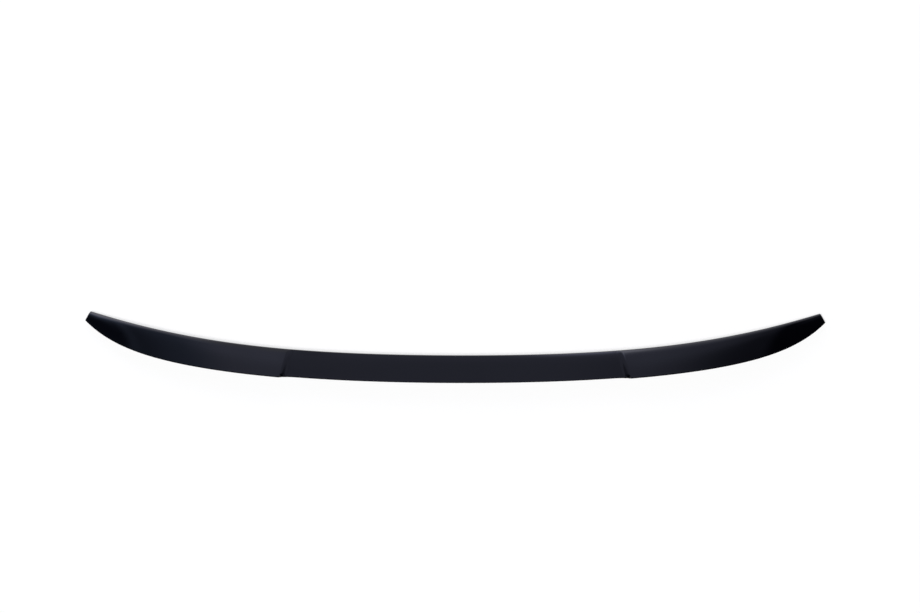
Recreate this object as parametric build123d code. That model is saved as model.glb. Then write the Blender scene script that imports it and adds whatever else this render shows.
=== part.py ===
from build123d import *
import math
import os

# Boot-lid lip spoiler: one thin moulding with two strips of mounting tape under it.
# Millimetres. X runs across the car, Y to its front and Z up. The origin is the middle
# of the moulding's rear lower edge, the whole of which lies in the plane Z = 0.

# Plan of the raised rear lip
HALF_WIDTH = 616.0  # centre line to either end of the lip
LIP_BOW = 45.7  # even forward bow, reached at the ends
SHOULDER_CURL = 42.8  # further forward curl over the outer half
SHOULDER_POWER = 4
TIP_CURL = 37.1  # last forward curl, over the ends alone
TIP_POWER = 11
FAN_RADIUS = 1500.0  # the section planes meet on an upright line this far ahead

# Section of the moulding, at the middle and at the tips
CHORD = 60.5  # lip to front edge
TIP_CHORD = 21.2
CHORD_POWER = 10
LIP_HEIGHT = 22.0
TIP_HEIGHT = 8.0
HEIGHT_POWER = 6
LID_SLOPE = 10.0  # degrees, fall of the boot lid towards the rear
UNDERCUT = 13.0  # lip behind the rear lower edge
LIP_EDGE = 3.0  # thickness of the trailing edge
LIP_LEAN = 0.9  # lower side of the trailing edge ahead of its upper side
REAR_HOLLOW = 3.0  # how far the rear face is drawn in from a straight line
NOSE = 3.2  # thickness of the front edge
CHIN = 1.6  # underside stops this far short of the front edge
CROWN = 0.3  # rise of the outer top surface above a straight line
LIP_REACH = 0.31  # share of the top surface that keeps the lip's fall
WING_ROLL = 22.0  # degrees, fall of the wings at the front edge
RECESS_ROLL = 14.5  # degrees, fall of the recess at the front edge
ROLL_REACH = 8.0  # length of the top surface that this roll bends
ROLL_LIMIT = 0.3  # largest share of the top surface that it bends
FULLNESS = 0.6  # roundness of the trailing and front edges, as a share of their thickness
TIP_ROUND = 1.2  # softening of the tip ends

# Shallow recess across the middle: a ramp up to each wing, the quicker step of the lip on it,
# and a wedge-shaped notch in the lip at the root of that step
RECESS_HALF = 275.5  # centre line to the foot of the ramp
RAMP_RUN = 12.5
STEP_DROP = 2.4  # recess below the wings, at the lip
STEP_SETBACK = 4.3  # lip further forward inside the recess
LIP_STEP_START = 3.5  # past the foot of the ramp
LIP_STEP_RUN = 4.5
NOTCH_PLACE = 5.5  # root of the notch, past the foot of the ramp
NOTCH_DROP = 0.8  # below the recess
NOTCH_INNER = 16.0  # width of its wall towards the recess
NOTCH_OUTER = 2.0  # width of its wall towards the wing
NOTCH_REACH = 12.0  # length ahead of the lip
NOTCH_LIFT = 0.1  # its walls start this far above the top surface
NOTCH_CLEAR = 8.0  # how far its cutter stands out above the moulding and behind it

# Cored underside
WALL = 3.0
RIB = 2.2
MIDDLE_BAY_COUNT = 3  # on each side of the centre line, under the recess
WING_BAY_COUNT = 3  # under each wing
TIP_SOLID = 75.0  # tips left uncored
FRONT_LAND = 15.0
FOOT_LAND = 12.0  # tape flange along the rear lower edge
FOOT_THICKNESS = 3.0
DRAFT = 1.0

# Mounting tape, let into a shallow rebate
TAPE_THICKNESS = 1.0
TAPE_PROUD = 0.4
FRONT_TAPE_WIDTH = 8.0
FRONT_TAPE_INSET = 4.0
FRONT_TAPE_END = 45.0  # bare length at each tip
REAR_TAPE_WIDTH = 7.0
REAR_TAPE_INSET = 3.0
REAR_TAPE_END = 70.0

# Strips that make up a rounded edge, and spacing of the sections in a smooth loft
ROUND_STRIPS = 5
SECTION_PITCH = 50.0

LIP_STEP = RECESS_HALF + LIP_STEP_START
NOTCH_ROOT = RECESS_HALF + NOTCH_PLACE
STEP_TOP = RECESS_HALF + RAMP_RUN
WING_END = HALF_WIDTH - TIP_ROUND
LID_RISE = math.tan(math.radians(LID_SLOPE))


def taper(middle, tip, share, power):
    """Value that holds near the middle and runs to its tip value."""
    return middle - (middle - tip) * share**power


def eased(x, start, run):
    """Smooth change from 0 to 1 along the lip, the same on both sides."""
    share = min(max((abs(x) - start) / run, 0.0), 1.0)
    return share * share * (3 - 2 * share)


def on_bezier(points, u):
    """Point of a Bezier curve."""
    order = len(points) - 1
    weights = [math.comb(order, i) * u**i * (1 - u) ** (order - i) for i in range(order + 1)]
    return sum((point * weight for point, weight in zip(points, weights)), Vector())


def lip_sweep(x):
    """Forward position of the outer lip line, from its middle."""
    share = abs(x) / HALF_WIDTH
    return LIP_BOW * share**2 + SHOULDER_CURL * share**SHOULDER_POWER + TIP_CURL * share**TIP_POWER


class Section:
    """The moulding on one upright plane through the lip: local X forward, local Y up."""

    def __init__(self, x):
        share = abs(x) / HALF_WIDTH
        self.height = taper(LIP_HEIGHT, TIP_HEIGHT, share, HEIGHT_POWER)
        self.chord = taper(CHORD, TIP_CHORD, share, CHORD_POWER)
        self.foot = UNDERCUT * self.height / LIP_HEIGHT
        self.brow = Vector(self.chord - NOSE, self.underside(self.chord) + NOSE)
        self.depth = 1 - eased(x, RECESS_HALF, RAMP_RUN)
        setback = STEP_SETBACK * (1 - eased(x, LIP_STEP, LIP_STEP_RUN))
        fall = setback * (self.height - self.brow.Y) / self.brow.X
        self.lip = Vector(setback, self.height - self.depth * STEP_DROP - fall)
        self.behind_lip, self.rolled = self.top_handles()
        sweep = lip_sweep(x)
        angle = math.atan2(x, FAN_RADIUS - sweep)
        self.plane = Plane(
            origin=(x, sweep - UNDERCUT, 0),
            x_dir=(-math.sin(angle), math.cos(angle), 0),
            z_dir=(math.cos(angle), math.sin(angle), 0),
        )

    def underside(self, t):
        """Height of the underside at distance t from the outer lip."""
        return (t - self.foot) * LID_RISE

    def top_handles(self):
        """Points that shape the top between the lip and the roll at the front edge."""
        crown = (1 - self.depth) * CROWN * self.chord / CHORD
        middle = (self.lip + self.brow) / 2 + Vector(0, 2 * crown)
        roll = math.radians(self.depth * RECESS_ROLL + (1 - self.depth) * WING_ROLL)
        reach = min(ROLL_REACH, ROLL_LIMIT * (self.brow - self.lip).length)
        behind_lip = self.lip + (middle - self.lip) * 2 * LIP_REACH
        return behind_lip, self.brow - Vector(math.cos(roll), -math.sin(roll)) * reach

    def top(self, t):
        """Height of the top surface at distance t from the outer lip."""
        points = [self.lip, self.behind_lip, self.rolled, self.brow]
        near, far = 0.0, 1.0
        for _ in range(40):
            halfway = (near + far) / 2
            if on_bezier(points, halfway).X < t:
                near = halfway
            else:
                far = halfway
        return on_bezier(points, near).Y

    def placed(self, edges):
        """Closed wire of local edges, moved to this section's plane."""
        return Wire(edges).moved(self.plane.location)

    def outline(self, inset=0.0):
        """Outer profile, drawn in by inset on every side to soften a tip."""
        lip_low = self.lip + Vector(LIP_LEAN, -LIP_EDGE)
        foot = Vector(self.foot, 0)
        chin = Vector(self.chord - CHIN, self.underside(self.chord - CHIN))
        hollow = (lip_low + foot) / 2 + Vector(REAR_HOLLOW * self.height / LIP_HEIGHT, 0)
        lip_back = (self.lip - self.behind_lip).normalized() * (FULLNESS * LIP_EDGE)
        lip_under = (lip_low - hollow).normalized() * (FULLNESS * LIP_EDGE)
        chin_front = (chin - foot).normalized() * (FULLNESS * NOSE)
        brow_front = (self.brow - self.rolled).normalized() * (FULLNESS * NOSE)

        def drawn_in(point):
            return Vector(
                inset + point.X * (1 - 2 * inset / self.chord),
                inset + point.Y * (1 - 2 * inset / self.height),
            )

        def curve(*points):
            return Edge.make_bezier(*[drawn_in(point) for point in points])

        def rounded_edge(*points):
            whole = curve(*points)
            return [whole.trim(i / ROUND_STRIPS, (i + 1) / ROUND_STRIPS) for i in range(ROUND_STRIPS)]

        return self.placed(
            [
                curve(self.brow, self.rolled, self.behind_lip, self.lip),
                *rounded_edge(self.lip, self.lip + lip_back, lip_low + lip_under, lip_low),
                curve(lip_low, hollow, foot),
                Edge.make_line(drawn_in(foot), drawn_in(chin)),
                *rounded_edge(chin, chin + chin_front, self.brow + brow_front, self.brow),
            ]
        )

    def bay(self, skin):
        """Profile cored out between the front land, the skin, the rear wall and its flange."""
        front = self.chord - FRONT_LAND
        flange = self.foot + FOOT_LAND
        wall_top = self.foot - WALL
        wall_foot = self.foot + WALL
        corners = [
            (front, self.underside(front) - self.height),
            (front - DRAFT, self.top(front - DRAFT) - skin),
            (wall_top, self.top(wall_top) - skin),
            (wall_foot, self.underside(wall_foot) + FOOT_THICKNESS),
            (flange, self.underside(flange) + FOOT_THICKNESS),
            (flange, self.underside(flange) - self.height),
        ]
        return self.placed(Wire.make_polygon(corners).edges())

    def notch(self, drop):
        """Profile of the notch's cutter, drop below the top surface at the lip."""
        ahead = Vector(self.lip.X + NOTCH_REACH, self.top(self.lip.X + NOTCH_REACH))
        root = self.lip - Vector(0, drop)
        behind = root + (root - ahead) * (NOTCH_CLEAR / NOTCH_REACH)
        corners = [behind, ahead, ahead + Vector(0, NOTCH_CLEAR), behind + Vector(0, 2 * NOTCH_CLEAR)]
        return self.placed(Wire.make_polygon(corners).edges())

    def tape(self, start, width):
        """Profile of a tape strip whose rear edge is at start, let into the underside."""
        along = Vector(1, LID_RISE).normalized() * width
        inward = Vector(-LID_RISE, 1).normalized()
        corner = Vector(start, self.underside(start)) - inward * TAPE_PROUD
        rise = inward * TAPE_THICKNESS
        corners = [corner, corner + along, corner + along + rise, corner + rise]
        return self.placed(Wire.make_polygon(corners).edges())


def shares(start, end):
    """Even shares of a span, from 0 to 1, that keep its sections within their pitch."""
    steps = math.ceil((end - start) / SECTION_PITCH)
    return [i / steps for i in range(steps + 1)]


def even(start, end):
    """Evenly spaced stations, both ends included."""
    return [start + (end - start) * share for share in shares(start, end)]


def towards_tip(start, end):
    """Stations that crowd together towards the end."""
    return [start + (end - start) * math.sin(math.pi / 2 * share) for share in shares(start, end)]


def both_sides(solid):
    """A solid of the right half and its mirror image."""
    return [solid, solid.mirror(Plane.YZ)]


def make_body():
    """Outer form: recessed middle, ramps, wings and their softened ends."""
    middle = [Section(x).outline() for x in even(-RECESS_HALF, RECESS_HALF)]
    ramp = [Section(LIP_STEP + share * LIP_STEP_RUN).outline() for share in (0, 0.25, 0.5, 0.75, 1)]
    wing = [Section(x).outline() for x in towards_tip(STEP_TOP, WING_END)]
    turn = math.sqrt(0.5)
    tip = [
        Section(WING_END + turn * TIP_ROUND).outline(inset=(1 - turn) * TIP_ROUND),
        Section(HALF_WIDTH).outline(inset=TIP_ROUND),
    ]
    body = Solid.make_loft(middle)
    body = body.fuse(*both_sides(Solid.make_loft([middle[-1], *ramp, wing[0]], ruled=True)))
    body = body.fuse(*both_sides(Solid.make_loft(wing)))
    return body.fuse(*both_sides(Solid.make_loft([wing[-1], *tip], ruled=True)))


def make_notches():
    """Cutters for the notch at the root of either step: a long inner and a short outer wall."""
    root = Section(NOTCH_ROOT)
    profiles = [
        Section(NOTCH_ROOT - NOTCH_INNER).notch(-NOTCH_LIFT),
        root.notch((1 - root.depth) * STEP_DROP + NOTCH_DROP),
        Section(NOTCH_ROOT + NOTCH_OUTER).notch(-NOTCH_LIFT),
    ]
    return both_sides(Solid.make_loft(profiles, ruled=True))


def make_bays(start, end, count, skin=WALL):
    """Cutters for equal bays from start to end on both sides, parted by ribs."""
    pitch = (end - start + RIB) / count
    cutters = []
    for i in range(count):
        bay_start = start + i * pitch
        stations = even(bay_start, bay_start + pitch - RIB)
        cutters += both_sides(Solid.make_loft([Section(x).bay(skin) for x in stations]))
    return cutters


def make_tape(bare, width, rear_edge):
    """Tape strip from tip to tip, leaving bare ends; rear_edge gives its place in a section."""
    end = HALF_WIDTH - bare
    sections = [Section(x) for x in even(-end, end)]
    return Solid.make_loft([section.tape(rear_edge(section), width) for section in sections])


front_tape = make_tape(
    FRONT_TAPE_END,
    FRONT_TAPE_WIDTH,
    lambda section: section.chord - FRONT_TAPE_INSET - FRONT_TAPE_WIDTH,
)
rear_tape = make_tape(
    REAR_TAPE_END,
    REAR_TAPE_WIDTH,
    lambda section: section.foot + REAR_TAPE_INSET,
)
spoiler_lip = make_body().cut(
    *make_notches(),
    *make_bays(RIB / 2, RECESS_HALF - RIB / 2, MIDDLE_BAY_COUNT),
    *make_bays(RECESS_HALF + RIB / 2, STEP_TOP - RIB / 2, 1, WALL + NOTCH_DROP),
    *make_bays(STEP_TOP + RIB / 2, HALF_WIDTH - TIP_SOLID, WING_BAY_COUNT),
    front_tape,
    rear_tape,
)

os.makedirs("parts", exist_ok=True)
export_step(spoiler_lip, "parts/spoiler_lip.step")
export_step(front_tape, "parts/front_tape.step")
export_step(rear_tape, "parts/rear_tape.step")
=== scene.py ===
"""Boot-lid lip spoiler: the moulding and its tape strips dressed over their frame, on a studio stage."""

import math

import bmesh
import bpy
import numpy as np
from bpy.props import FloatProperty, FloatVectorProperty, IntProperty, PointerProperty
from bpy.types import Operator, Panel, PropertyGroup
from mathutils import Matrix


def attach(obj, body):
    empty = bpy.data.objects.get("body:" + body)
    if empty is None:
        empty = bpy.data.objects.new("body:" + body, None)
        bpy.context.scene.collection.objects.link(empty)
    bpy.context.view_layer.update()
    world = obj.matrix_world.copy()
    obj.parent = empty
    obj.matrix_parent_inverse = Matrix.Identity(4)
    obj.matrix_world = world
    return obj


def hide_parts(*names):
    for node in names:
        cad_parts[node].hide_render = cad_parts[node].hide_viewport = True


bl_info = {
    "name": "Lip Spoiler",
    "version": (1, 0, 0),
    "blender": (4, 5, 0),
    "location": "View3D > Sidebar > Lip Spoiler",
    "description": "Builds a boot-lid lip spoiler with its mounting tape",
    "category": "Object",
}

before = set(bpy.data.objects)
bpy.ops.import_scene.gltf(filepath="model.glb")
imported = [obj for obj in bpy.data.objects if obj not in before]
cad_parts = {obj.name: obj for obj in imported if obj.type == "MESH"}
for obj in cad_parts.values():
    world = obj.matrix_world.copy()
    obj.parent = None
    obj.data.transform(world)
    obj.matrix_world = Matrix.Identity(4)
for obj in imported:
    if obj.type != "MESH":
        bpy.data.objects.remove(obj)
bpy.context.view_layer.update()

BODY = "root"
IMAGE_WIDTH = 920
SENSOR_WIDTH = 36.0
BLACK = (0.0, 0.0, 0.0, 1.0)
WHITE = (1.0, 1.0, 1.0, 1.0)
PLASTIC_IOR = 1.5
FOAM_IOR = 1.45

# How late along the lip each change sets in: the higher the power, the nearer to its end
SHOULDER_POWER = 4
TIP_POWER = 11
HEIGHT_POWER = 6
CHORD_POWER = 10
CORNER_POWER = 8
FLARE_POWER = 40

# Largest share of the top surface that the roll at the front edge bends
ROLL_LIMIT = 0.3

# Fineness of the meshes: steps round a section, and sections along the lip with their spacing
REAR_STEPS = 10
LIP_STEPS = 12
TOP_STEPS = 40
NOSE_STEPS = 14
TOP_SAMPLES = 24
FOAM_EDGE_STEPS = 3
PITCH = 0.006
STEP_PITCH = 0.0003
STEP_MARGIN = 0.002
WING_SECTIONS = 80
TIP_SECTIONS = 8

# Least gap between the rims of two channels, and distances at which points count as one
RIM_GAP = 0.0004
MERGE_DISTANCE = 1e-6
SAME_PLACE = 1e-9

# Place of the underside's finish in the moulding's list of materials, after the skin's
CORED = 1

# Edges sharper than this stay sharp
PLASTIC_CREASE = math.radians(34)
FOAM_CREASE = math.radians(50)


def length(name, description, default):
    """A distance in metres."""
    return FloatProperty(
        name=name,
        description=description,
        default=default,
        min=0.0,
        precision=4,
        subtype="DISTANCE",
        unit="LENGTH",
    )


def angle(name, description, degrees):
    """An angle, given in degrees."""
    return FloatProperty(
        name=name,
        description=description,
        default=math.radians(degrees),
        subtype="ANGLE",
        unit="ROTATION",
    )


def share(name, description, default):
    """A number from 0 to 1."""
    return FloatProperty(
        name=name, description=description, default=default, min=0.0, max=1.0, subtype="FACTOR"
    )


def number(name, description, default):
    """A whole number of like things."""
    return IntProperty(name=name, description=description, default=default, min=1)


def strength(name, description, default):
    """A brightness, with 1 as white."""
    return FloatProperty(name=name, description=description, default=default, min=0.0)


def fade(name, description, start, end, low=0.0, high=1.0):
    """A smooth change: where it starts, where it ends, and the value before and after it."""
    return FloatVectorProperty(name=name, description=description, default=(start, end, low, high), size=4)


def colour(name, description, default):
    """A linear colour."""
    return FloatVectorProperty(
        name=name, description=description, default=default, size=3, min=0.0, max=1.0, subtype="COLOR"
    )


class LipPlan(PropertyGroup):
    """Plan of the raised rear lip."""

    half_width: length("Half Width", "Centre line to either end of the lip", 0.6159)
    bow: length("Bow", "Even forward bow, reached at the ends", 0.0457)
    shoulder_curl: length("Shoulder Curl", "Further forward curl over the outer half", 0.0428)
    tip_curl: length("Tip Curl", "Last forward curl, over the ends alone", 0.0371)
    fan_radius: length("Fan Radius", "How far ahead the section planes meet", 1.5)
    tip_flare: length("Tip Flare", "Front corner of a tip further out than its section plane", 0.0018)
    tip_round: length("Tip Round", "Softening of the tip ends", 0.0012)


class LipSection(PropertyGroup):
    """Section of the moulding, at the middle and at the tips."""

    chord: length("Chord", "Lip to front edge at the middle", 0.0605)
    tip_chord: length("Tip Chord", "Lip to front edge at the tips", 0.02115)
    height: length("Height", "Height of the lip at the middle", 0.022)
    tip_height: length("Tip Height", "Height of the lip at the tips", 0.008)
    lid_slope: angle("Lid Slope", "Fall of the boot lid towards the rear", 10.0)
    undercut: length("Undercut", "Lip behind the rear lower edge", 0.013)
    lip_edge: length("Lip Edge", "Thickness of the trailing edge", 0.003)
    lip_lean: length("Lip Lean", "Lower side of the trailing edge ahead of its upper side", 0.0009)
    rear_hollow: length("Rear Hollow", "How far the rear face is drawn in", 0.003)
    nose: length("Nose", "Thickness of the front edge", 0.0032)
    chin: length("Chin", "Underside stops this far short of the front edge", 0.0016)
    crown: length("Crown", "Rise of the wings' top surface above a straight line", 0.0003)
    wing_roll: angle("Wing Roll", "Fall of the wings' top surface at the front edge", 22.0)
    recess_roll: angle("Recess Roll", "Fall of the recess at the front edge", 14.5)
    roll_reach: length("Roll Reach", "Length of the top surface that the front roll bends", 0.008)
    lip_reach: share("Lip Reach", "Share of the top surface that keeps the lip's fall", 0.31)
    fullness: share("Fullness", "Roundness of the trailing and front edges", 0.6)


class RecessSteps(PropertyGroup):
    """Shallow recess across the middle and the steps at its ends."""

    half_length: length("Half Length", "Centre line to the foot of the ramp", 0.2755)
    ramp_run: length("Ramp Run", "Width of the ramp up to the wing", 0.0125)
    ramp_margin: length("Ramp Margin", "Flat left at the ramp's foot and head", 0.0009)
    step_drop: length("Step Drop", "Recess below the wing's own surface, at the lip", 0.0024)
    step_setback: length("Step Setback", "Lip further forward inside the recess", 0.00431)
    edge_corner: length("Edge Corner", "Foot of the ramp to the inner corner of the wing's lip", 0.011)
    edge_run: length("Edge Run", "Length over which the recess's lip bends back to that corner", 0.0615)
    notch_place: length("Notch Place", "Foot of the ramp to the notch's root", 0.009)
    notch_drop: length("Notch Drop", "Notch below the recess, at the lip", 0.0006)
    notch_inner: length("Notch Inner Wall", "Width of the notch's wall towards the recess", 0.006)
    notch_outer: length("Notch Outer Wall", "Width of the notch's wall towards the wing", 0.002)
    notch_reach: length("Notch Reach", "Length of the notch ahead of the lip", 0.0048)


class Coring(PropertyGroup):
    """Cored underside with its ribs and lands."""

    wall: length("Wall", "Thickness of the skin", 0.003)
    rib: length("Rib", "Thickness of the ribs", 0.0022)
    middle_bays: number("Middle Bays", "Bays on each side under the recess", 3)
    wing_bays: number("Wing Bays", "Bays under each wing", 3)
    tip_solid: length("Tip Solid", "Tips left uncored", 0.075)
    front_land: length("Front Land", "Flat behind the front edge", 0.015)
    foot_land: length("Foot Land", "Tape flange along the rear lower edge", 0.012)
    foot_thickness: length("Foot Thickness", "Thickness of the tape flange", 0.003)
    draft: length("Draft", "Lean of the bays' front wall", 0.001)
    edge_round: length("Edge Round", "Rounding of the moulding's sharp edges", 0.00025)


class TapeStrips(PropertyGroup):
    """Mounting tape let into the underside."""

    thickness: length("Thickness", "Thickness of the tape", 0.001)
    proud: length("Proud", "How far the tape stands out of its rebate", 0.0004)
    front_width: length("Front Width", "Width of the front strip", 0.008)
    front_inset: length("Front Inset", "Front strip behind the front edge", 0.004)
    front_bare: length("Front Bare Ends", "Bare length at each tip, front strip", 0.045)
    rear_width: length("Rear Width", "Width of the rear strip", 0.007)
    rear_inset: length("Rear Inset", "Rear strip ahead of the rear lower edge", 0.003)
    rear_bare: length("Rear Bare Ends", "Bare length at each tip, rear strip", 0.07)
    edge_round: length("Edge Round", "Rounding of the foam's cut edges", 0.00018)


class Finishes(PropertyGroup):
    """Colours and gloss."""

    black: colour("Black", "Gloss black of the skin", (0.0008, 0.0009, 0.0018))
    black_deep: colour("Deep Black", "Darker cloud in the gloss black", (0.0004, 0.0005, 0.0011))
    skin_roughness: share("Skin Roughness", "Roughness of the gloss skin", 0.05)
    cored: colour("Cored Black", "As-moulded black of the underside", (0.011, 0.011, 0.012))
    cored_roughness: share("Cored Roughness", "Roughness of the underside", 0.42)
    foam: colour("Foam", "Grey of the tape's foam", (0.05, 0.05, 0.053))
    # Darker end of the foam's colour: painted shade in the cells' pits, plus some random tone
    foam_pit_shade_and_tone: colour("Foam Cells", "Darker grey inside the foam's cells", (0.022, 0.022, 0.024))


class PanelGlow(PropertyGroup):
    """Bright and dark zones of the overhead panel, in metres across it from the middle and along it."""

    # What the top surface mirrors
    wings: fade("Wings", "Outwards: from the recess's zone to the wings'", 0.38, 0.52)
    ahead: fade("Ahead", "Along: brightness that the recess mirrors", 1.44, 1.76, 0.36, 0.42)
    wing_gain: strength("Wing Gain", "How much brighter the wings' zone gets there", 0.15)
    wing_rise: fade("Wing Rise", "Along: a further rise of the wings' zone", 1.9, 2.15, 0.0, 0.12)
    overhead_start: fade("Overhead Start", "Along: start of the dim zone overhead", 0.25, 0.45)
    overhead_fall: fade("Overhead Fall", "Along: fall of the dim zone overhead", 0.6, 0.95, 0.75, 0.2)
    main_start: fade("Main Start", "Along: start of the main zone", 1.0, 1.25, 0.0, 0.8)

    # Dark and bright line at the left step, and a dim strip along the left lip
    step: fade("Left Step", "Leftwards: from the dark line to the bright one", 0.42, 0.46, -0.07, 0.065)
    step_start: fade("Left Step Start", "Leftwards: start of the dark line", 0.3, 0.38)
    step_end: fade("Left Step End", "Leftwards: end of the bright line", 0.47, 0.54, 1.0, 0.0)
    step_along: fade("Left Step Along", "Along: start of both lines", 1.55, 1.75)
    strip_start: fade("Left Strip Start", "Leftwards: start of the dim strip", 0.2, 0.4)
    strip_end: fade("Left Strip End", "Leftwards: end of the dim strip", 0.68, 0.75, 1.0, 0.0)
    strip_along: fade("Left Strip Along", "Along: end of the dim strip", 1.36, 1.43, 0.5, 0.0)

    # Falls to both sides, which spread as they run on
    spread_start: length("Spread Start", "Along: where the falls start to spread", 2.0)
    left_spread: share("Left Spread", "How much the left falls spread", 0.4)
    right_spread: share("Right Spread", "How much the right falls spread", 0.25)
    left_fall: fade("Left Fall", "Leftwards: first fall", 0.58, 0.76, 1.0, 0.49)
    left_next_fall: fade("Left Next Fall", "Leftwards: second fall", 0.74, 0.95, 1.0, 0.56)
    left_last_fall: fade("Left Last Fall", "Leftwards: last fall", 0.965, 1.04, 1.0, 0.2)
    left_end: fade("Left End", "Leftwards: start of the bluer left end", 0.6, 0.75)
    lift_end: fade("Left Lift End", "Leftwards: end of the lift in the left end", 0.9, 1.0, 1.0, 0.0)
    lift: fade("Left Lift", "Along: lift of the left end", 1.45, 1.7, 0.4, 0.1)
    band_place: length("Band Place", "Leftwards: middle of a bright band", 0.965)
    band: fade("Band", "Away from the middle of that band", 0.0, 0.055, 0.28, 0.0)
    right_bend: fade("Right Bend", "Along: how the right fall shifts", 1.46, 1.66, -0.06, 0.05)
    right_fall: fade("Right Fall", "Rightwards: long fall", 0.28, 0.9, 1.0, 0.2)
    right_end: fade("Right End", "Rightwards: short fall at the end", 0.875, 0.945, 1.0, 0.03)

    # What the front edge and the tips mirror
    far: fade("Far", "Along: rise of the far zone", 2.2, 3.3, 0.0, 0.5)
    far_tilt: fade("Far Tilt", "Rightwards: slow fall of the far zone", -0.9, 0.9, 1.0, 0.75)
    far_end: fade("Far End", "Rightwards: end of the far zone", 0.93, 1.12, 1.0, 0.65)
    far_tint: fade("Far Tint", "Along: from the near tint to the far one", 1.9, 2.6)
    gap_place: length("Gap Place", "Leftwards: middle of a gap in the far zone", 0.53)
    gap: fade("Gap", "Away from the middle of that gap", 0.08, 0.14)
    side: fade("Side", "Along: rise of both side zones", 1.75, 2.4)
    side_left: fade("Left Side", "Leftwards: start of the left side zone", 0.76, 0.95, 0.0, 0.7)
    side_right: fade("Right Side", "Rightwards: start of the right side zone", 0.5, 0.7, 0.0, 0.14)
    side_right_end: fade("Right Side End", "Rightwards: end of the right side zone", 0.84, 0.94, 1.0, 0.0)
    rim: fade("Right Rim", "Rightwards: rise towards the right step", 0.12, 0.38, 0.0, 1.3)
    rim_end: fade("Right Rim End", "Rightwards: end of that rise", 0.42, 0.58, 1.0, 0.0)
    rim_shift: fade("Right Rim Shift", "Rightwards: shift along, at the right step", 0.41, 0.445, 0.0, 0.42)
    rim_along: fade("Right Rim Along", "Along: start of that rise", 1.64, 2.2)
    tip_left: fade("Left Tip", "Leftwards: start of the left tip's zone", 0.95, 1.08)
    tip_left_along: fade("Left Tip Along", "Along: rise of the left tip's zone", 1.25, 2.4, 0.015, 0.85)
    tip_right: fade("Right Tip", "Rightwards: start of the right tip's zone", 0.95, 1.05)
    tip_right_along: fade("Right Tip Along", "Along: rise of the right tip's zone", 1.4, 2.0, 0.0, 0.06)


class Surround(PropertyGroup):
    """What the gloss mirrors beside the panel; elevations in degrees, headings from -1 behind to 1 ahead."""

    horizon: fade("Horizon", "Elevation: fall of the pale horizon", 8.0, 26.0, 1.0, 0.0)
    horizon_heading: fade("Horizon Heading", "Heading: horizon from behind to ahead", -0.4, 0.3, 0.35, 1.0)
    behind_start: fade("Behind Start", "Elevation: start of a soft zone behind", 14.0, 30.0)
    behind_end: fade("Behind End", "Elevation: end of that zone", 55.0, 75.0, 0.3, 0.0)
    behind_heading: fade("Behind Heading", "Heading: end of that zone", -0.5, 0.0, 1.0, 0.0)
    least: strength("Least", "Brightness everywhere else", 0.02)
    ambient: share("Ambient", "Even light from all round", 0.3)


class StudioStage(PropertyGroup):
    """Floor, light and camera."""

    floor_half: length("Floor Half Width", "Middle of the floor to its edge", 12.0)
    floor_shadow: share("Floor Shadow", "How much of the floor's own shading shows", 0.34)
    floor_white: strength("Floor White", "Brightness of the floor apart from its shading", 1.075)
    paper: colour("Paper", "Colour of the floor's paper", (0.9, 0.9, 0.9))
    panel_height: length("Panel Height", "Overhead panel above the floor", 1.6)
    panel_half: length("Panel Half Width", "Middle of the panel to its sides", 3.0)
    panel_far: length("Panel Far End", "Part to the far end of the panel", 9.0)
    panel_near: length("Panel Near End", "Near end of the panel behind the part", 0.6)
    panel_peak: strength("Panel Peak", "Brightness of the panel's zones at which it is fully lit", 2.0)
    panel_strength: strength("Panel Strength", "Strength of the panel where it is fully lit", 2.7)
    panel_colour: colour("Panel Colour", "Tint of the overhead panel", (0.68, 0.715, 1.0))
    far_colour: colour("Far Panel Colour", "Tint of the panel's far part", (0.76, 0.77, 0.92))
    left_colour: colour("Left Panel Colour", "Tint of the panel's left part", (0.55, 0.66, 1.0))
    lamp_strength: strength("Lamp Strength", "Strength of the soft lamp", 3.2)
    lamp_lift: angle("Lamp Elevation", "Lamp above the floor", 48.0)
    lamp_turn: angle("Lamp Turn", "Lamp to the left of the camera's side", 20.0)
    lamp_spread: angle("Lamp Spread", "Angle that the lamp fills, for soft shadows", 20.0)
    camera_aim: FloatVectorProperty(
        name="Camera Aim",
        description="Place on the floor that the camera looks at",
        default=(0.00777, 0.14476, 0.0),
        size=3,
        subtype="TRANSLATION",
        unit="LENGTH",
    )
    camera_lift: angle("Camera Elevation", "Camera above the floor", 60.0)
    camera_roll: angle("Camera Roll", "Tilt of the camera about its own axis", 0.19)
    camera_distance: length("Camera Distance", "Camera to its aim", 3.0)
    focal_pixels: FloatProperty(
        name="Focal Length", description="Focal length in image pixels", default=1789.0, subtype="PIXEL"
    )
    glow: PointerProperty(type=PanelGlow)
    surround: PointerProperty(type=Surround)


class SpoilerSettings(PropertyGroup):
    """All that the spoiler is built from."""

    plan: PointerProperty(type=LipPlan)
    section: PointerProperty(type=LipSection)
    recess: PointerProperty(type=RecessSteps)
    coring: PointerProperty(type=Coring)
    tape: PointerProperty(type=TapeStrips)
    finish: PointerProperty(type=Finishes)
    stage: PointerProperty(type=StudioStage)


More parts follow.
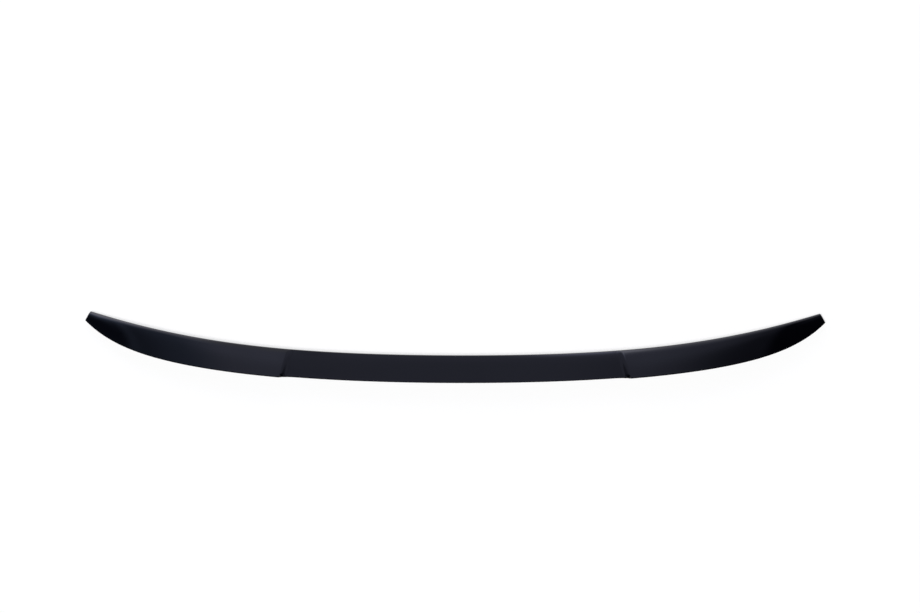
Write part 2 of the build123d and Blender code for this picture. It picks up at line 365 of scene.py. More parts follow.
class Value:
    """A socket of a shader tree; arithmetic on it adds Math nodes."""

    def __init__(self, shader, socket):
        self.shader = shader
        self.socket = socket

    def output(self, name):
        """Another output of the same node."""
        return Value(self.shader, self.socket.node.outputs[name])

    def math(self, operation, *terms):
        """A Math node of the terms given."""
        return self.shader.add("ShaderNodeMath", {"operation": operation}, dict(enumerate(terms)))

    def __add__(self, other):
        return self.math("ADD", self, other)

    def __radd__(self, other):
        return self.math("ADD", other, self)

    def __sub__(self, other):
        return self.math("SUBTRACT", self, other)

    def __rsub__(self, other):
        return self.math("SUBTRACT", other, self)

    def __mul__(self, other):
        return self.math("MULTIPLY", self, other)

    def __rmul__(self, other):
        return self.math("MULTIPLY", other, self)

    def __abs__(self):
        return self.math("ABSOLUTE", self)

    def smooth(self, start, end, low=0.0, high=1.0):
        """Smooth ramp from low at start to high at end."""
        return self.shader.add(
            "ShaderNodeMapRange",
            {"interpolation_type": "SMOOTHSTEP"},
            {"Value": self, "From Min": start, "From Max": end, "To Min": low, "To Max": high},
        )


class Shader:
    """Empty node tree that nodes are added to."""

    def __init__(self, tree):
        self.tree = tree
        tree.nodes.clear()

    def add(self, kind, settings=None, sockets=None):
        """Adds a node, sets it, feeds its sockets and gives its first output."""
        node = self.tree.nodes.new(kind)
        for name, setting in (settings or {}).items():
            setattr(node, name, setting)
        for key, value in (sockets or {}).items():
            if isinstance(value, Value):
                self.tree.links.new(value.socket, node.inputs[key])
            else:
                node.inputs[key].default_value = value
        return Value(self, node.outputs[0]) if node.outputs else None

    def mix(self, factor, first, second):
        """Colour between two colours."""
        mixed = self.add("ShaderNodeMix", {"data_type": "RGBA"}, {0: factor, 6: first, 7: second})
        return Value(self, mixed.socket.node.outputs[2])

    def blend(self, factor, first, second):
        """Shader between two shaders."""
        return self.add("ShaderNodeMixShader", {}, {0: factor, 1: first, 2: second})

    def light(self, tint, brightness):
        """Shader that glows by itself."""
        return self.add("ShaderNodeEmission", {}, {"Color": tint, "Strength": brightness})

    def noise(self, place, scale, detail=2.0, roughness=0.5):
        """Soft cloudy pattern about 0.5."""
        return self.add(
            "ShaderNodeTexNoise",
            {},
            {"Vector": place, "Scale": scale, "Detail": detail, "Roughness": roughness},
        )


def opaque(tint):
    """A colour with its alpha."""
    return (*tint, 1.0)


def new_material(name):
    """A material with an empty node tree."""
    material = bpy.data.materials.new(name)
    material.use_nodes = True
    return material, Shader(material.node_tree)


def gloss_skin(finish):
    """Gloss black plastic: deep, smooth, with a trace of orange peel and moulding flow."""
    material, shader = new_material("gloss_black_skin")
    place = shader.add("ShaderNodeTexCoord").output("Object")
    flow = shader.add("ShaderNodeMapping", {}, {"Vector": place, "Scale": (6.0, 22.0, 22.0)})
    cloud = shader.noise(flow, scale=1.0, detail=3.0).smooth(0.3, 0.7)
    peel = shader.noise(place, scale=260.0, detail=1.0)
    haze = shader.noise(place, scale=35.0, detail=4.0, roughness=0.6).smooth(0.35, 0.75)
    bump = shader.add("ShaderNodeBump", {}, {"Height": peel, "Strength": 0.05, "Distance": 0.0001})
    plastic = shader.add(
        "ShaderNodeBsdfPrincipled",
        {},
        {
            "Base Color": shader.mix(cloud, opaque(finish.black), opaque(finish.black_deep)),
            "Roughness": finish.skin_roughness + 0.025 * haze,
            "IOR": PLASTIC_IOR,
            "Normal": bump,
        },
    )
    shader.add("ShaderNodeOutputMaterial", {}, {"Surface": plastic})
    return material


def cored_underside(finish):
    """The same plastic as it leaves a textured mould half: satin, with a fine even grain."""
    material, shader = new_material("moulded_black_underside")
    place = shader.add("ShaderNodeTexCoord").output("Object")
    grain = shader.noise(place, scale=2600.0, detail=2.0, roughness=0.55)
    sink = shader.noise(place, scale=45.0, detail=3.0, roughness=0.55).smooth(0.3, 0.7)
    bump = shader.add("ShaderNodeBump", {}, {"Height": grain, "Strength": 0.35, "Distance": 0.0002})
    paler = tuple(1.5 * part for part in finish.cored)
    plastic = shader.add(
        "ShaderNodeBsdfPrincipled",
        {},
        {
            "Base Color": shader.mix(sink, opaque(finish.cored), opaque(paler)),
            "Roughness": finish.cored_roughness + 0.12 * grain,
            "IOR": PLASTIC_IOR,
            "Normal": bump,
        },
    )
    shader.add("ShaderNodeOutputMaterial", {}, {"Surface": plastic})
    return material


def foam_tape(finish):
    """Closed-cell acrylic foam: dull, finely pitted, with painted shade darkening the pits, a little uneven
    in tone.
    """
    material, shader = new_material("foam_tape")
    place = shader.add("ShaderNodeTexCoord").output("Object")
    cells = shader.add("ShaderNodeTexVoronoi", {}, {"Vector": place, "Scale": 2200.0}).smooth(0.15, 0.6)
    tone = shader.noise(place, scale=120.0, detail=3.0).smooth(0.3, 0.7)
    bump = shader.add("ShaderNodeBump", {}, {"Height": cells, "Strength": 0.6, "Distance": 0.0002})
    foam = shader.add(
        "ShaderNodeBsdfPrincipled",
        {},
        {
            # Painted shade: darker where the bump's pits sink, 70 percent of the mix, with 30 percent random
            # tone
            "Base Color": shader.mix(0.7 * cells + 0.3 * tone, opaque(finish.foam_pit_shade_and_tone), opaque(finish.foam)),
            "Roughness": 0.72 + 0.2 * tone,
            "IOR": FOAM_IOR,
            "Normal": bump,
        },
    )
    shader.add("ShaderNodeOutputMaterial", {}, {"Surface": foam})
    return material


def bezier(points, steps, whole=True):
    """Points along a Bezier curve; the last one is left off unless the whole is asked for."""
    points = np.array(points)
    order = len(points) - 1
    along = np.linspace(0.0, 1.0, steps + 1)[:, None]
    curve = sum(
        math.comb(order, i) * along**i * (1 - along) ** (order - i) * point for i, point in enumerate(points)
    )
    return curve if whole else curve[:-1]


def unit(vector):
    """The vector at length 1."""
    return vector / np.linalg.norm(vector)


def even(start, end, pitch):
    """Evenly spaced stations within a pitch, both ends included."""
    return np.linspace(start, end, math.ceil((end - start) / pitch) + 1)


class Channel:
    """A sunk run of the underside: where it lies in a section, and where along the lip it runs."""

    def __init__(self, rims, floor, spans):
        self.rims = rims
        self.floor = floor
        self.spans = spans

    def runs_between(self, x, next_x):
        """True where it runs from one station to the next."""
        middle = (x + next_x) / 2
        return any(start < middle < end for start, end in self.spans)

    def ends_at(self, x):
        """True where one of its runs ends at a station."""
        return any(abs(x - end) < SAME_PLACE for span in self.spans for end in span)


class LipForm:
    """The moulding's form: sections on fanned upright planes, local first axis forward, second up."""

    def __init__(self, settings):
        self.plan = settings.plan
        self.section = settings.section
        self.recess = settings.recess
        self.coring = settings.coring
        self.tape = settings.tape
        self.step_top = self.recess.half_length + self.recess.ramp_run
        self.lip_corner = self.recess.half_length + self.recess.edge_corner
        self.notch_root = self.recess.half_length + self.recess.notch_place
        self.front_tape_end = self.plan.half_width - self.tape.front_bare
        self.rear_tape_end = self.plan.half_width - self.tape.rear_bare
        self.lid_rise = math.tan(self.section.lid_slope)
        self.along = unit(np.array([1.0, self.lid_rise]))
        self.inward = unit(np.array([-self.lid_rise, 1.0]))

    def outward(self, x):
        """Place along the lip: 0 on the centre line, 1 at a tip."""
        return abs(x) / self.plan.half_width

    def sweep(self, x):
        """Outer lip line ahead of where it lies on the centre line."""
        plan = self.plan
        part = self.outward(x)
        curls = plan.shoulder_curl * part**SHOULDER_POWER + plan.tip_curl * part**TIP_POWER
        return plan.bow * part**2 + curls

    def height(self, x):
        """Height of the outer lip line."""
        section = self.section
        return section.height - (section.height - section.tip_height) * self.outward(x) ** HEIGHT_POWER

    def chord(self, x):
        """Front edge ahead of the outer lip line."""
        section = self.section
        return section.chord - (section.chord - section.tip_chord) * self.outward(x) ** CHORD_POWER

    def foot(self, x):
        """Rear lower edge ahead of the outer lip line."""
        return self.section.undercut * self.height(x) / self.section.height

    def underside(self, x, t):
        """Height of the underside at distance t from the outer lip line."""
        return (t - self.foot(x)) * self.lid_rise

    def on_underside(self, x, t):
        """Point of the underside at distance t from the outer lip line."""
        return np.array([t, self.underside(x, t)])

    def eased(self, x, start, run):
        """Smooth change from 0 to 1 along the lip, the same on both sides."""
        part = min(max((abs(x) - start) / run, 0.0), 1.0)
        return part * part * (3 - 2 * part)

    def depth(self, x):
        """Depth below the wing, as a share of the recess's own."""
        recess = self.recess
        start = recess.half_length + recess.ramp_margin
        return 1.0 - self.eased(x, start, recess.ramp_run - 2 * recess.ramp_margin)

    def setback(self, x):
        """Lip ahead of the outer lip line."""
        part = min(max(1.0 - (self.lip_corner - abs(x)) / self.recess.edge_run, 0.0), 1.0)
        return self.recess.step_setback * (1.0 - part**CORNER_POWER)

    def rise(self, x):
        """Height of the ramp above the recess, at the lip."""
        return (1.0 - self.depth(x)) * self.recess.step_drop

    def notch(self, x, ahead=0.0):
        """Depth of the wedge-shaped notch at the root of a step, some way ahead of the lip."""
        recess = self.recess
        aside = abs(x) - self.notch_root
        if aside > 0:
            deep = (self.rise(self.notch_root) + recess.notch_drop) * (1.0 - aside / recess.notch_outer)
        else:
            deep = self.rise(x) + recess.notch_drop * (1.0 + aside / recess.notch_inner)
        return max(deep, 0.0) * np.maximum(1.0 - ahead / recess.notch_reach, 0.0)

    def brow(self, x):
        """Upper side of the front edge."""
        chord = self.chord(x)
        return np.array([chord - self.section.nose, self.underside(x, chord) + self.section.nose])

    def even_lip(self, x):
        """Upper side of the trailing edge, but for the notch."""
        brow = self.brow(x)
        setback = self.setback(x)
        fall = setback * (self.height(x) - brow[1]) / brow[0]
        return np.array([setback, self.height(x) - self.depth(x) * self.recess.step_drop - fall])

    def lip(self, x):
        """Upper side of the trailing edge, with the notch."""
        return self.even_lip(x) - np.array([0.0, self.notch(x)])

    def crown(self, x):
        """Rise of the top surface above a straight line."""
        return (1.0 - self.depth(x)) * self.section.crown * self.chord(x) / self.section.chord

    def top_handles(self, x):
        """Points that shape the top between the lip and the roll at the front edge."""
        section = self.section
        lip = self.even_lip(x)
        brow = self.brow(x)
        depth = self.depth(x)
        middle = (lip + brow) / 2 + np.array([0.0, 2 * self.crown(x)])
        roll = depth * section.recess_roll + (1.0 - depth) * section.wing_roll
        reach = min(section.roll_reach, ROLL_LIMIT * np.linalg.norm(brow - lip))
        rolled = brow - reach * np.array([math.cos(roll), -math.sin(roll)])
        return lip + (middle - lip) * 2 * section.lip_reach, rolled

    def chin(self, x):
        """Front end of the underside."""
        return self.on_underside(x, self.chord(x) - self.section.chin)

    def top(self, x, t):
        """Height of the top surface at distance t from the outer lip line."""
        curve = bezier([self.even_lip(x), *self.top_handles(x), self.brow(x)], TOP_SAMPLES)
        return float(np.interp(t, curve[:, 0], curve[:, 1]))

    def skin(self, x):
        """Outer skin from the rear lower edge, over the lip and the top, to the chin."""
        section = self.section
        lip = self.lip(x)
        brow = self.brow(x)
        chin = self.chin(x)
        foot = self.on_underside(x, self.foot(x))
        ahead_of_lip, rolled = self.top_handles(x)
        even_lip = self.even_lip(x)
        lip_low = even_lip + np.array([section.lip_lean, -section.lip_edge])
        drawn_in = np.array([section.rear_hollow * self.height(x) / section.height, 0.0])
        hollow = (lip_low + foot) / 2 + drawn_in
        lip_reach = section.fullness * (lip[1] - lip_low[1])
        nose_reach = section.fullness * section.nose
        top = bezier([even_lip, ahead_of_lip, rolled, brow], TOP_STEPS, whole=False)
        top[:, 1] -= self.notch(x, top[:, 0] - lip[0])
        lip_handles = [
            lip_low + unit(lip_low - hollow) * lip_reach,
            lip + unit(even_lip - ahead_of_lip) * lip_reach,
        ]
        nose_handles = [
            brow + unit(brow - rolled) * nose_reach,
            chin + unit(chin - foot) * nose_reach,
        ]
        return np.vstack(
            [
                bezier([foot, hollow, lip_low], REAR_STEPS, whole=False),
                bezier([lip_low, *lip_handles, lip], LIP_STEPS, whole=False),
                top,
                bezier([brow, *nose_handles, chin], NOSE_STEPS),
            ]
        )

    def tape_frame(self, x, start, width):
        """Rear and front edge of a strip on the underside."""
        corner = self.on_underside(x, start)
        return corner, corner + self.along * width

    def front_strip(self, x):
        """Rear and front edge of the front tape."""
        start = self.chord(x) - self.tape.front_inset - self.tape.front_width
        return self.tape_frame(x, start, self.tape.front_width)

    def rear_strip(self, x):
        """Rear and front edge of the rear tape."""
        return self.tape_frame(x, self.foot(x) + self.tape.rear_inset, self.tape.rear_width)

    def bay(self, x):
        """Rims and inner corners of a cored bay, from the front."""
        coring = self.coring
        front = self.chord(x) - coring.front_land
        flange = self.foot(x) + coring.foot_land
        wall_top = self.foot(x) - coring.wall
        wall_foot = self.foot(x) + coring.wall
        on_ramp = self.recess.half_length < abs(x) < self.step_top
        skin = coring.wall + (self.recess.notch_drop if on_ramp else 0.0)
        inner = [
            np.array([front - coring.draft, self.top(x, front - coring.draft) - skin]),
            np.array([wall_top, self.top(x, wall_top) - skin]),
            np.array([wall_foot, self.underside(x, wall_foot) + coring.foot_thickness]),
            np.array([flange, self.underside(x, flange) + coring.foot_thickness]),
        ]
        return front, inner, flange

    def place(self, x, points, inset=0.0):
        """Section points in the frame, drawn in on every side to round a tip."""
        points = np.atleast_2d(points)
        scale = 1 - 2 * inset / np.array([self.chord(x), self.height(x)])
        forward, up = (inset + points * scale).T
        sweep = self.sweep(x)
        turn = math.atan2(x, self.plan.fan_radius - sweep)
        flare = math.copysign(self.plan.tip_flare * self.outward(x) ** FLARE_POWER, x)
        across = x - forward * math.sin(turn) + flare * forward / self.chord(x)
        ahead = sweep - self.section.undercut + forward * math.cos(turn)
        return np.stack([across, ahead, up], axis=1)

    def bay_spans(self):
        """Where the bays run, on both sides of the centre line."""
        coring = self.coring
        half_rib = coring.rib / 2
        middle = (half_rib, self.recess.half_length - half_rib, coring.middle_bays)
        ramp = (self.recess.half_length + half_rib, self.step_top - half_rib, 1)
        wing = (self.step_top + half_rib, self.plan.half_width - coring.tip_solid, coring.wing_bays)
        spans = []
        for start, end, count in (middle, ramp, wing):
            pitch = (end - start + coring.rib) / count
            for i in range(count):
                first = start + i * pitch
                last = first + pitch - coring.rib
                spans += [(first, last), (-last, -first)]
        return spans

    def channels(self):
        """Sunk runs of the underside, from the front: front rebate, bays, rear rebate."""
        sunk = self.inward * (self.tape.thickness - self.tape.proud)

        def rebate(strip):
            def floor(x):
                rear, front = strip(x)
                return [front + sunk, rear + sunk]

            return floor

        front_rebate = Channel(
            lambda x: (self.front_strip(x)[1][0], self.front_strip(x)[0][0]),
            rebate(self.front_strip),
            [(-self.front_tape_end, self.front_tape_end)],
        )
        bays = Channel(lambda x: self.bay(x)[::2], lambda x: self.bay(x)[1], self.bay_spans())
        rear_rebate = Channel(
            lambda x: (self.rear_strip(x)[1][0], self.rear_strip(x)[0][0]),
            rebate(self.rear_strip),
            [(-self.rear_tape_end, self.rear_tape_end)],
        )
        return [front_rebate, bays, rear_rebate]

    def underside_rims(self, x, channels):
        """Rims of every channel, from the front, kept in order where the tips leave too little room."""
        middle = (self.chord(x) + self.foot(x)) / 2
        rims = [t for channel in channels for t in channel.rims(x)]
        half = len(rims) // 2
        ahead = [max(t, middle + RIM_GAP * (half - i)) for i, t in enumerate(rims[:half])]
        behind = [min(t, middle - RIM_GAP * (i + 1)) for i, t in enumerate(rims[half:])]
        return [self.on_underside(x, t) for t in ahead + behind]

    def stations(self, channels):
        """Places of the sections along the lip, with their inset at the tips."""
        wing_end = self.plan.half_width - self.plan.tip_round
        step_start = self.notch_root - self.recess.notch_inner
        step_end = self.step_top + STEP_MARGIN
        easing = np.sin(np.linspace(0.0, math.pi / 2, WING_SECTIONS))
        right = [
            *even(0.0, step_start, PITCH),
            *even(step_start, step_end, STEP_PITCH),
            *(step_end + (wing_end - step_end) * easing),
        ]
        edges = [end for channel in channels for span in channel.spans for end in span if end > 0]
        right = [x for x in right if all(abs(x - edge) > STEP_PITCH for edge in edges)] + edges
        right = sorted(set(round(x, 9) for x in right))
        placed = [(-x, 0.0) for x in reversed(right) if x > 0] + [(x, 0.0) for x in right]
        rounding = []
        for turn in np.linspace(0.0, math.pi / 2, TIP_SECTIONS)[1:]:
            x = wing_end + self.plan.tip_round * math.sin(turn)
            rounding.append((x, self.plan.tip_round * (1 - math.cos(turn))))
        return [(-x, inset) for x, inset in reversed(rounding)] + placed + rounding


class Shell:
    """Faces gathered into one closed mesh."""

    def __init__(self):
        self.points = []
        self.faces = []
        self.finishes = []

    def face(self, points, finish=0):
        """One face with points of its own."""
        start = len(self.points)
        self.points.extend(points)
        self.faces.append(range(start, start + len(points)))
        self.finishes.append(finish)

    def strip(self, row, next_row, finish=0):
        """Quads between two rows of points."""
        for i in range(len(row) - 1):
            self.face([row[i], row[i + 1], next_row[i + 1], next_row[i]], finish)

    def finish(self, name, materials, sharp):
        """The closed mesh as an object, smooth but for edges sharper than the angle given."""
        mesh = bpy.data.meshes.new(name)
        mesh.from_pydata([tuple(point) for point in self.points], [], [list(face) for face in self.faces])
        mesh.polygons.foreach_set("material_index", self.finishes)
        work = bmesh.new()
        work.from_mesh(mesh)
        bmesh.ops.remove_doubles(work, verts=work.verts, dist=MERGE_DISTANCE)
        bmesh.ops.recalc_face_normals(work, faces=work.faces)
        loose = [edge for edge in work.edges if not edge.is_manifold]
        if loose:
            raise RuntimeError(f"{name} is open along {len(loose)} edges")
        work.to_mesh(mesh)
        work.free()
        mesh.shade_smooth()
        mesh.set_sharp_from_angle(angle=sharp)
        for material in materials:
            mesh.materials.append(material)
        piece = bpy.data.objects.new(name, mesh)
        bpy.context.scene.collection.objects.link(piece)
        return piece


class SPOILER_OT_moulding(Operator):
    """Builds the one-piece moulding: gloss skin outside, ribbed and cored underneath"""

    bl_idname = "spoiler.moulding"
    bl_label = "Build Moulding"

    def execute(self, context):
        settings = context.scene.lip_spoiler
        form = LipForm(settings)
        channels = form.channels()
        stations = form.stations(channels)
        shell = Shell()
        skins = [form.place(x, form.skin(x), inset) for x, inset in stations]
        rims = [form.place(x, form.underside_rims(x, channels), inset) for x, inset in stations]
        for i in range(len(stations) - 1):
            shell.strip(skins[i], skins[i + 1])
            pair = slice(i, i + 2)
            self.underside_strip(shell, form, channels, stations[pair], skins[pair], rims[pair])
        for i, (x, inset) in enumerate(stations):
            for j, channel in enumerate(channels):
                if channel.ends_at(x):
                    walls = form.place(x, channel.floor(x), inset)
                    shell.face([rims[i][2 * j], *walls, rims[i][2 * j + 1]], CORED)
        for end in (0, -1):
            shell.face([*skins[end], *rims[end]])
        piece = shell.finish(
            "spoiler_lip_moulding",
            [gloss_skin(settings.finish), cored_underside(settings.finish)],
            PLASTIC_CREASE,
        )
        rounding = piece.modifiers.new("edge_round", "BEVEL")
        rounding.width = settings.coring.edge_round
        rounding.segments = 2
        rounding.limit_method = "ANGLE"
        rounding.angle_limit = PLASTIC_CREASE
        rounding.harden_normals = True
        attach(piece, BODY)
        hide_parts("spoiler_lip")
        return {"FINISHED"}

    def underside_strip(self, shell, form, channels, pair, skins, rims):
        """Underside between two stations: flat lands, and the floors of the channels that run there."""
        lands = [np.vstack([skin[-1], *rim, skin[0]]) for skin, rim in zip(skins, rims)]
        for k in range(len(lands[0]) - 1):
            rows = [land[k : k + 2] for land in lands]
            channel = channels[k // 2] if k % 2 else None
            if channel and channel.runs_between(pair[0][0], pair[1][0]):
                floors = [form.place(x, channel.floor(x), inset) for x, inset in pair]
                rows = [np.vstack([row[0], floor, row[1]]) for row, floor in zip(rows, floors)]
            shell.strip(rows[0], rows[1], CORED)


class SPOILER_OT_tape(Operator):
    """Lays the two strips of mounting tape in their rebates"""

    bl_idname = "spoiler.tape"
    bl_label = "Lay Tape"

    def execute(self, context):
        settings = context.scene.lip_spoiler
        form = LipForm(settings)
        foam = foam_tape(settings.finish)
        for node, strip, end in (
            ("front_tape", form.front_strip, form.front_tape_end),
            ("rear_tape", form.rear_strip, form.rear_tape_end),
        ):
            shell = Shell()
            loops = [form.place(x, self.outline(form, strip, x)) for x in even(-end, end, PITCH)]
            for loop, next_loop in zip(loops, loops[1:]):
                shell.strip(np.vstack([loop, loop[:1]]), np.vstack([next_loop, next_loop[:1]]))
            shell.face(loops[0])
            shell.face(loops[-1])
            piece = shell.finish(f"{node}_strip", [foam], FOAM_CREASE)
            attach(piece, BODY)
            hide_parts(node)
        return {"FINISHED"}

    def outline(self, form, strip, x):
        """Closed outline of a strip with softly cut edges."""
        rear, front = strip(x)
        low = -form.inward * form.tape.proud
        high = form.inward * (form.tape.thickness - form.tape.proud)
        corners = [rear + low, front + low, front + high, rear + high]
        outline = []
        for i, corner in enumerate(corners):
            before = corner + unit(corners[i - 1] - corner) * form.tape.edge_round
            after = corner + unit(corners[(i + 1) % len(corners)] - corner) * form.tape.edge_round
            outline.append(bezier([before, corner, after], FOAM_EDGE_STEPS))
        return np.vstack(outline)


class SPOILER_OT_stage(Operator):
    """Sets the floor, the light and the camera"""

    bl_idname = "spoiler.stage"
    bl_label = "Set Stage"

    def execute(self, context):
        scene = context.scene
        stage = scene.lip_spoiler.stage
        whole_floor = (-stage.floor_half, stage.floor_half)
        floor = self.sheet("studio_floor", whole_floor, whole_floor, 0.0, self.floor_finish(stage))
        across = (-stage.panel_half, stage.panel_half)
        along = (-stage.panel_near, stage.panel_far)
        panel = self.sheet("overhead_panel", across, along, stage.panel_height, self.panel_finish(stage))
        panel.visible_camera = False
        panel.visible_shadow = False
        self.set_world(scene, stage.surround)
        self.set_lamp(scene, stage)
        self.set_camera(scene, stage)
        scene.view_settings.view_transform = "Standard"
        return {"FINISHED"}

    def sheet(self, name, across, along, height, material):
        """Flat rectangular sheet."""
        left, right = across
        near, far = along
        corners = [(left, near, height), (right, near, height), (right, far, height), (left, far, height)]
        mesh = bpy.data.meshes.new(name)
        mesh.from_pydata(corners, [], [(0, 1, 2, 3)])
        mesh.materials.append(material)
        sheet = bpy.data.objects.new(name, mesh)
        bpy.context.scene.collection.objects.link(sheet)
        return sheet

    def seen_directly(self, shader):
        """1 for what the camera sees, straight or in gloss."""
        path = shader.add("ShaderNodeLightPath")
        straight = path.output("Is Camera Ray")
        mirrored = path.output("Is Glossy Ray")
        through = path.output("Is Transmission Ray")
        return straight.math("MAXIMUM", straight.math("MAXIMUM", straight, mirrored), through)

    def floor_finish(self, stage):
        """White paper floor that keeps a trace of shadow."""
        material, shader = new_material("white_floor")
        seen = self.seen_directly(shader)
        paper = shader.add("ShaderNodeBsdfDiffuse", {}, {"Color": opaque(stage.paper)})
        white = shader.light(WHITE, stage.floor_white)
        mixed = shader.blend(seen * (1.0 - stage.floor_shadow), paper, white)
        shader.add("ShaderNodeOutputMaterial", {}, {"Surface": mixed})
        return material

    def panel_finish(self, stage):
        """Overhead diffuser, the only thing but the surround that the gloss mirrors."""
        material, shader = new_material("overhead_panel")
        place = shader.add("ShaderNodeTexCoord").output("Object")
        parts = shader.add("ShaderNodeSeparateXYZ", {}, {"Vector": place})
        across = parts.output("X")
        along = parts.output("Y")
        glow = stage.glow
        brightness = self.top_glow(glow, across, along) + self.edge_glow(glow, across, along)
        left_end = (0.0 - across).smooth(*glow.left_end)
        near_tint = shader.mix(left_end, opaque(stage.panel_colour), opaque(stage.left_colour))
        sheet_tint = shader.mix(along.smooth(*glow.far_tint), near_tint, opaque(stage.far_colour))
        tint = shader.mix((1.0 / stage.panel_peak) * brightness, BLACK, sheet_tint)
        shader.add("ShaderNodeOutputMaterial", {}, {"Surface": shader.light(tint, stage.panel_strength)})
        return material

    def far_gap(self, glow, across):
        """0 in the gap that darkens the front edge of the left wing near its step, 1 elsewhere."""
        return abs(across + glow.gap_place).smooth(*glow.gap)

    def top_glow(self, glow, across, along):
        """Brightness of the panel where the top surface mirrors it."""
        leftwards = 0.0 - across

        # A stretch ahead of the part, brighter for the wings than for the recess
        wings = abs(across).smooth(*glow.wings)
        start, end, near_level, recess_level = glow.ahead
        ahead = along.smooth(start, end, near_level, recess_level + glow.wing_gain * wings)
        ahead = ahead + along.smooth(*glow.wing_rise) * wings * self.far_gap(glow, across)

        # The left step's two lines, and the dim strip along the left lip
        step = leftwards.smooth(*glow.step) * leftwards.smooth(*glow.step_start)
        ahead = ahead + step * leftwards.smooth(*glow.step_end) * along.smooth(*glow.step_along)
        strip = leftwards.smooth(*glow.strip_start) * leftwards.smooth(*glow.strip_end)
        ahead = ahead * (1.0 - strip * along.smooth(*glow.strip_along))

        # A dark gap between the dim zone overhead and the main zone
        overhead = along.smooth(*glow.overhead_start) * along.smooth(*glow.overhead_fall)
        ahead = ahead * (overhead + along.smooth(*glow.main_start))

        # Falls towards both tips, and a bright band before the left one
        spread = along.math("MAXIMUM", along - glow.spread_start, 0.0)
        left = leftwards - glow.left_spread * spread
        left_fall = left.smooth(*glow.left_fall) * left.smooth(*glow.left_next_fall)
        left_fall = left_fall * left.smooth(*glow.left_last_fall)
        lift = leftwards.smooth(*glow.left_end) * leftwards.smooth(*glow.lift_end) * along.smooth(*glow.lift)
        left_fall = left_fall * (1.0 + lift)
        band = abs(left - glow.band_place).smooth(*glow.band)
        right = across - glow.right_spread * spread
        right_fall = (right - along.smooth(*glow.right_bend)).smooth(*glow.right_fall)
        right_fall = right_fall * right.smooth(*glow.right_end)
        return ahead * (left_fall * right_fall + band)

    def edge_glow(self, glow, across, along):
        """Brightness of the panel where the rounded front edge and the tips mirror it."""
        leftwards = 0.0 - across
        far = along.smooth(*glow.far) * across.smooth(*glow.far_tilt)
        far = far * across.smooth(*glow.far_end) * self.far_gap(glow, across)
        side_right = across.smooth(*glow.side_right) * across.smooth(*glow.side_right_end)
        sides = along.smooth(*glow.side) * (leftwards.smooth(*glow.side_left) + side_right)
        rim = across.smooth(*glow.rim) * across.smooth(*glow.rim_end)
        rim = rim * (along - across.smooth(*glow.rim_shift)).smooth(*glow.rim_along)
        tip_left = leftwards.smooth(*glow.tip_left) * along.smooth(*glow.tip_left_along)
        tip_right = across.smooth(*glow.tip_right) * along.smooth(*glow.tip_right_along)
        return far + sides + rim + tip_left + tip_right

    def set_world(self, scene, surround):
        """White where the camera sees it, a pale horizon and a soft zone behind in gloss, else even light."""
        world = bpy.data.worlds.new("studio")
        world.use_nodes = True
        scene.world = world
        shader = Shader(world.node_tree)
        heading = shader.add("ShaderNodeTexCoord").output("Generated")
        parts = shader.add("ShaderNodeSeparateXYZ", {}, {"Vector": heading})
        up = parts.output("Z")
        forward = parts.output("Y")
        horizon = self.climb(up, surround.horizon) * forward.smooth(*surround.horizon_heading)
        behind = self.climb(up, surround.behind_start) * self.climb(up, surround.behind_end)
        behind = behind * forward.smooth(*surround.behind_heading)
        path = shader.add("ShaderNodeLightPath")
        straight = path.output("Is Camera Ray")
        mirrored = straight.math("MAXIMUM", path.output("Is Glossy Ray"), path.output("Is Transmission Ray"))
        level = mirrored * (horizon + behind + surround.least) + (1 - mirrored) * surround.ambient
        level = straight + (1 - straight) * level
        tint = shader.mix(level, BLACK, WHITE)
        sky = shader.add("ShaderNodeBackground", {}, {"Color": tint, "Strength": 1.0})
        shader.add("ShaderNodeOutputWorld", {}, {"Surface": sky})

    def climb(self, up, change):
        """Smooth change between two elevations in degrees."""
        start, end, low, high = change
        return up.smooth(math.sin(math.radians(start)), math.sin(math.radians(end)), low, high)

    def set_lamp(self, scene, stage):
        """Soft lamp from the camera's side, for the shadow on the floor."""
        light = bpy.data.lights.new("soft_lamp", "SUN")
        light.energy = stage.lamp_strength
        light.angle = stage.lamp_spread
        lamp = bpy.data.objects.new("soft_lamp", light)
        turn = Matrix.Rotation(-stage.lamp_turn, 4, "Z")
        lamp.matrix_world = turn @ Matrix.Rotation(math.pi / 2 - stage.lamp_lift, 4, "X")
        lamp.visible_glossy = False
        scene.collection.objects.link(lamp)

    def set_camera(self, scene, stage):
        """Camera behind and above the part, at the photographed angle."""
        view = bpy.data.cameras.new("camera")
        view.sensor_fit = "HORIZONTAL"
        view.sensor_width = SENSOR_WIDTH
        view.lens = stage.focal_pixels * SENSOR_WIDTH / IMAGE_WIDTH
        view.clip_start = 0.05
        view.clip_end = 60.0
        camera = bpy.data.objects.new("camera", view)
        tilt = math.pi / 2 - stage.camera_lift
        aim = Matrix.Translation(stage.camera_aim)
        back = Matrix.Translation((0.0, 0.0, stage.camera_distance))
        turn = Matrix.Rotation(tilt, 4, "X") @ Matrix.Rotation(stage.camera_roll, 4, "Z")
        camera.matrix_world = aim @ turn @ back
        scene.collection.objects.link(camera)
        scene.camera = camera


class SPOILER_PT_panel(Panel):
    """Lists the steps that build the spoiler"""

    bl_label = "Lip Spoiler"
    bl_space_type = "VIEW_3D"
    bl_region_type = "UI"
    bl_category = "Lip Spoiler"

    def draw(self, context):
        for operator in (SPOILER_OT_moulding, SPOILER_OT_tape, SPOILER_OT_stage):
            self.layout.operator(operator.bl_idname)


CLASSES = (
    LipPlan,
    LipSection,
    RecessSteps,
    Coring,
    TapeStrips,
    Finishes,
    PanelGlow,
    Surround,
    StudioStage,
    SpoilerSettings,
    SPOILER_OT_moulding,
    SPOILER_OT_tape,
    SPOILER_OT_stage,
    SPOILER_PT_panel,
)


def register():
    for each in CLASSES:
        bpy.utils.register_class(each)
    bpy.types.Scene.lip_spoiler = PointerProperty(type=SpoilerSettings)


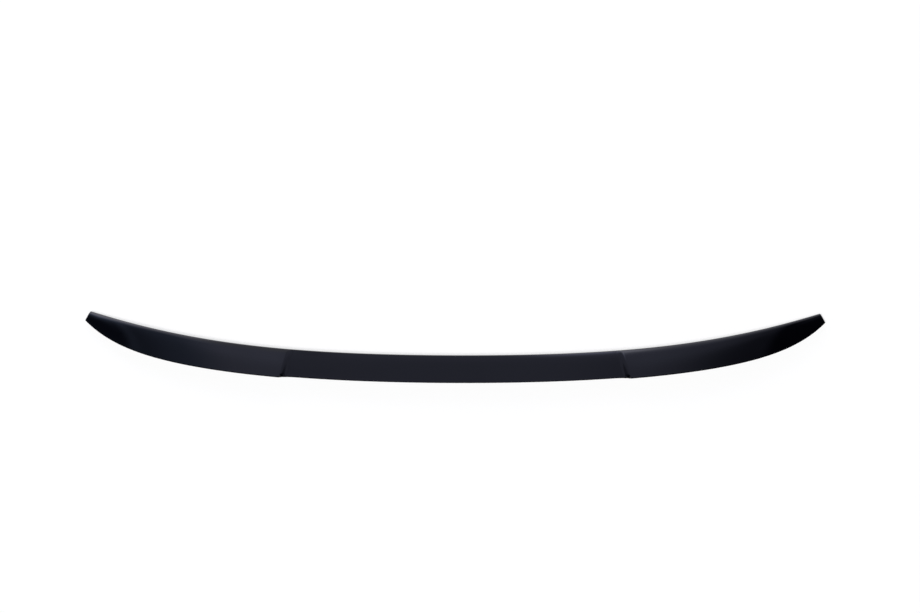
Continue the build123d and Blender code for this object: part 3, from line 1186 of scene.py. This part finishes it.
def unregister():
    del bpy.types.Scene.lip_spoiler
    for each in reversed(CLASSES):
        bpy.utils.unregister_class(each)


def main():
    register()
    bpy.ops.spoiler.moulding()
    bpy.ops.spoiler.tape()
    bpy.ops.spoiler.stage()


if __name__ == "__main__":
    main()
